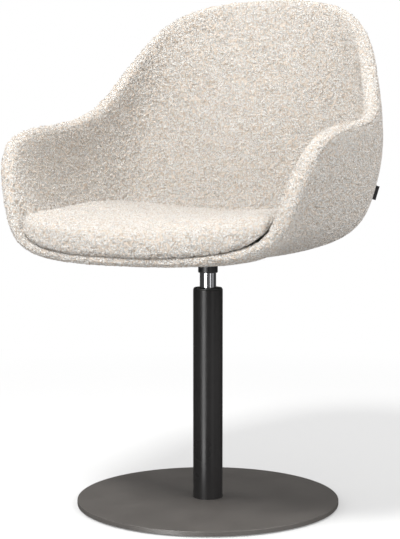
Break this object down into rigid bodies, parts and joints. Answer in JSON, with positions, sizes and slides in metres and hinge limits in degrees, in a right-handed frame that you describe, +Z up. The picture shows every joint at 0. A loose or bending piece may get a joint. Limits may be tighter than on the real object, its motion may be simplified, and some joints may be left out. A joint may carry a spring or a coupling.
{
  "type": "pedestal swivel armchair",
  "caption": "Upholstered bucket armchair with a separate seat cushion, turning and rising on a gas lift column with a round flat steel base.",
  "frame": {"origin": "on the floor, on the column's axis, under the centre of the round base", "axes": "+Z up, the open front of the seat towards -Y, the sitter's left towards +X"},
  "size_m": [0.583, 0.5579, 0.8807],
  "materials": {
    "boucle": "off-white looped wool fabric",
    "foam": "cut and moulded foam",
    "tag_ribbon": "plain woven ribbon, no print",
    "shell_plastic": "moulded, fine grain",
    "board_wood": "birch plywood",
    "base_coat": "fine powder coat",
    "column_coat": "fine powder coat",
    "black_coat": "satin black coat",
    "chrome": "polished hard chrome",
    "bare_steel": "machined",
    "zinc_steel": "zinc plated",
    "brass": "pressed",
    "aluminium": "turned",
    "rubber": "moulded",
    "black_plastic": "moulded"
  },
  "bodies": {
    "base": {"base_disc": "base_coat", "floor_glides": "black_plastic", "base_screws": "zinc_steel", "foot_plug": "bare_steel", "column_tube": "column_coat", "guide_bush": "black_plastic", "lower_race": "bare_steel"},
    "bearing": {"ball_cage": "brass", "thrust_balls": "bare_steel"},
    "rod": {"upper_race": "bare_steel", "rod_washer": "zinc_steel", "rod_clip": "zinc_steel", "lift_rod": "chrome", "bump_stop": "rubber", "piston": "aluminium", "piston_ring": "rubber"},
    "seat": {"pressure_tube": "chrome", "rod_guide": "aluminium", "rod_seal": "rubber", "liner_tube": "bare_steel", "valve_body": "aluminium", "taper_collar": "black_coat", "seat_pan": "black_coat", "seat_bolts": "zinc_steel", "seat_washers": "zinc_steel", "tee_nuts": "zinc_steel", "lever_bracket": "black_coat", "lever_pivot": "zinc_steel", "outer_cover": "boucle", "inner_cover": "boucle", "front_foam": "foam", "left_foam": "foam", "back_foam": "foam", "right_foam": "foam", "seat_shell": "shell_plastic", "blank_tag": "tag_ribbon", "cushion_cover": "boucle", "cushion_foam": "foam", "cushion_board": "board_wood", "cushion_screws": "zinc_steel"},
    "lever": {"height_lever": "black_coat", "lever_grip": "black_plastic"},
    "pin": {"release_pin": "zinc_steel"}
  },
  "joints": [
    {"name": "swivel", "type": "hinge", "parent": "base", "child": "rod", "pos_m": [0, 0, 0.05], "axis": [0, 0, 1], "continuous": true},
    {"name": "bearing_roll", "type": "hinge", "parent": "base", "child": "bearing", "pos_m": [0, 0, 0.05], "axis": [0, 0, 1], "continuous": true},
    {"name": "lift", "type": "slide", "parent": "rod", "child": "seat", "axis": [0, 0, 1], "range_m": [-0.02, 0.08]},
    {"name": "lever_lift", "type": "hinge", "parent": "seat", "child": "lever", "pos_m": [-0.03, 0, 0.4312], "axis": [0, 1, 0], "range_deg": [0, 4], "stiffness_Nm_per_rad": 8, "springref_deg": -2.86},
    {"name": "pin_press", "type": "slide", "parent": "seat", "child": "pin", "axis": [0, 0, -1], "range_m": [0, 0.0022]}
  ],
  "couplings": [
    {"joint": "bearing_roll", "follows": "swivel", "ratio": 0.5},
    {"joint": "pin_press", "follows": "lever_lift", "m_per_rad": 0.03}
  ]
}
